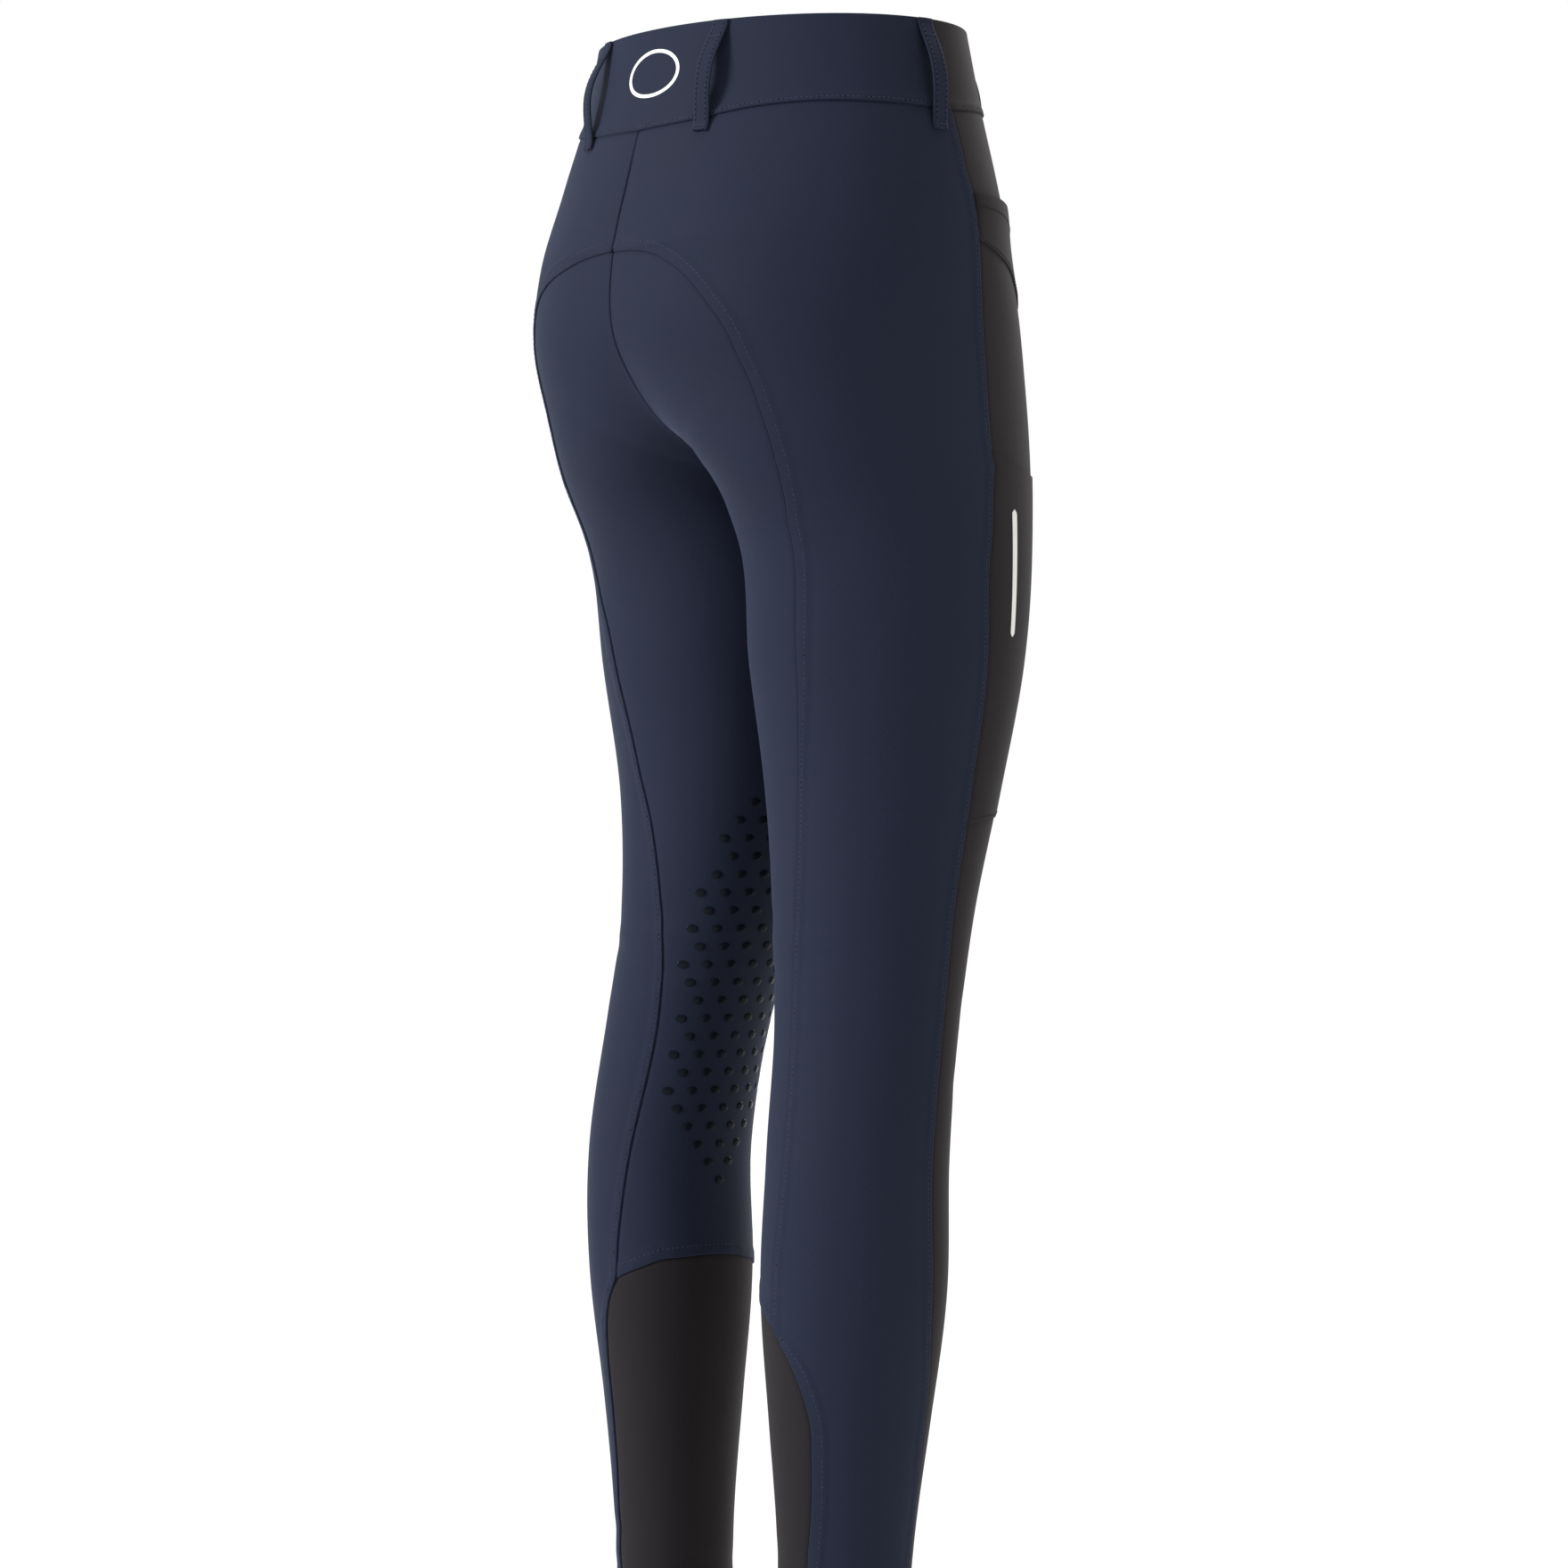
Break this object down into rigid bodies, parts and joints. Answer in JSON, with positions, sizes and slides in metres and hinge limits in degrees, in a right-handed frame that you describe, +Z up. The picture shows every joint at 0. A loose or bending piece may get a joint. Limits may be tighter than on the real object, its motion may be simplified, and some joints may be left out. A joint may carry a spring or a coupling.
{
  "type": "riding breeches",
  "caption": "Hollow worn riding breeches with a high waistband, belt loops, hip and thigh pockets, a lapped seat with grip dots at the inner knee, and stretch socks",
  "frame": {"origin": "centre of the waist opening, level with the waistband's top edge, where the wearer holds the breeches", "axes": "+Z up along the body, the wearer faces -Y, the wearer's left is +X"},
  "size_m": [0.3242, 0.258, 1.0078],
  "materials": {
    "navy_knit": "navy technical stretch knit, faint sheen",
    "charcoal_knit": "charcoal technical stretch knit, faint sheen",
    "button_plastic": "dark moulded button"
  },
  "bodies": {
    "root": {"back_left": "navy_knit", "back_right": "navy_knit", "fly": "charcoal_knit", "front_left": "charcoal_knit", "front_right": "charcoal_knit", "hip_pocket_left": "charcoal_knit", "hip_pocket_right": "charcoal_knit", "loop_back_left": "navy_knit", "loop_back_right": "navy_knit", "loop_front_left": "charcoal_knit", "loop_front_right": "charcoal_knit", "loop_side_left": "navy_knit", "loop_side_right": "navy_knit", "seat_left": "navy_knit", "seat_right": "navy_knit", "sock_left": "charcoal_knit", "sock_right": "charcoal_knit", "thigh_pocket_right": "charcoal_knit", "waist_button": "button_plastic", "waistband_back": "navy_knit", "waistband_front_left": "charcoal_knit", "waistband_front_right": "charcoal_knit"}
  },
  "joints": []
}
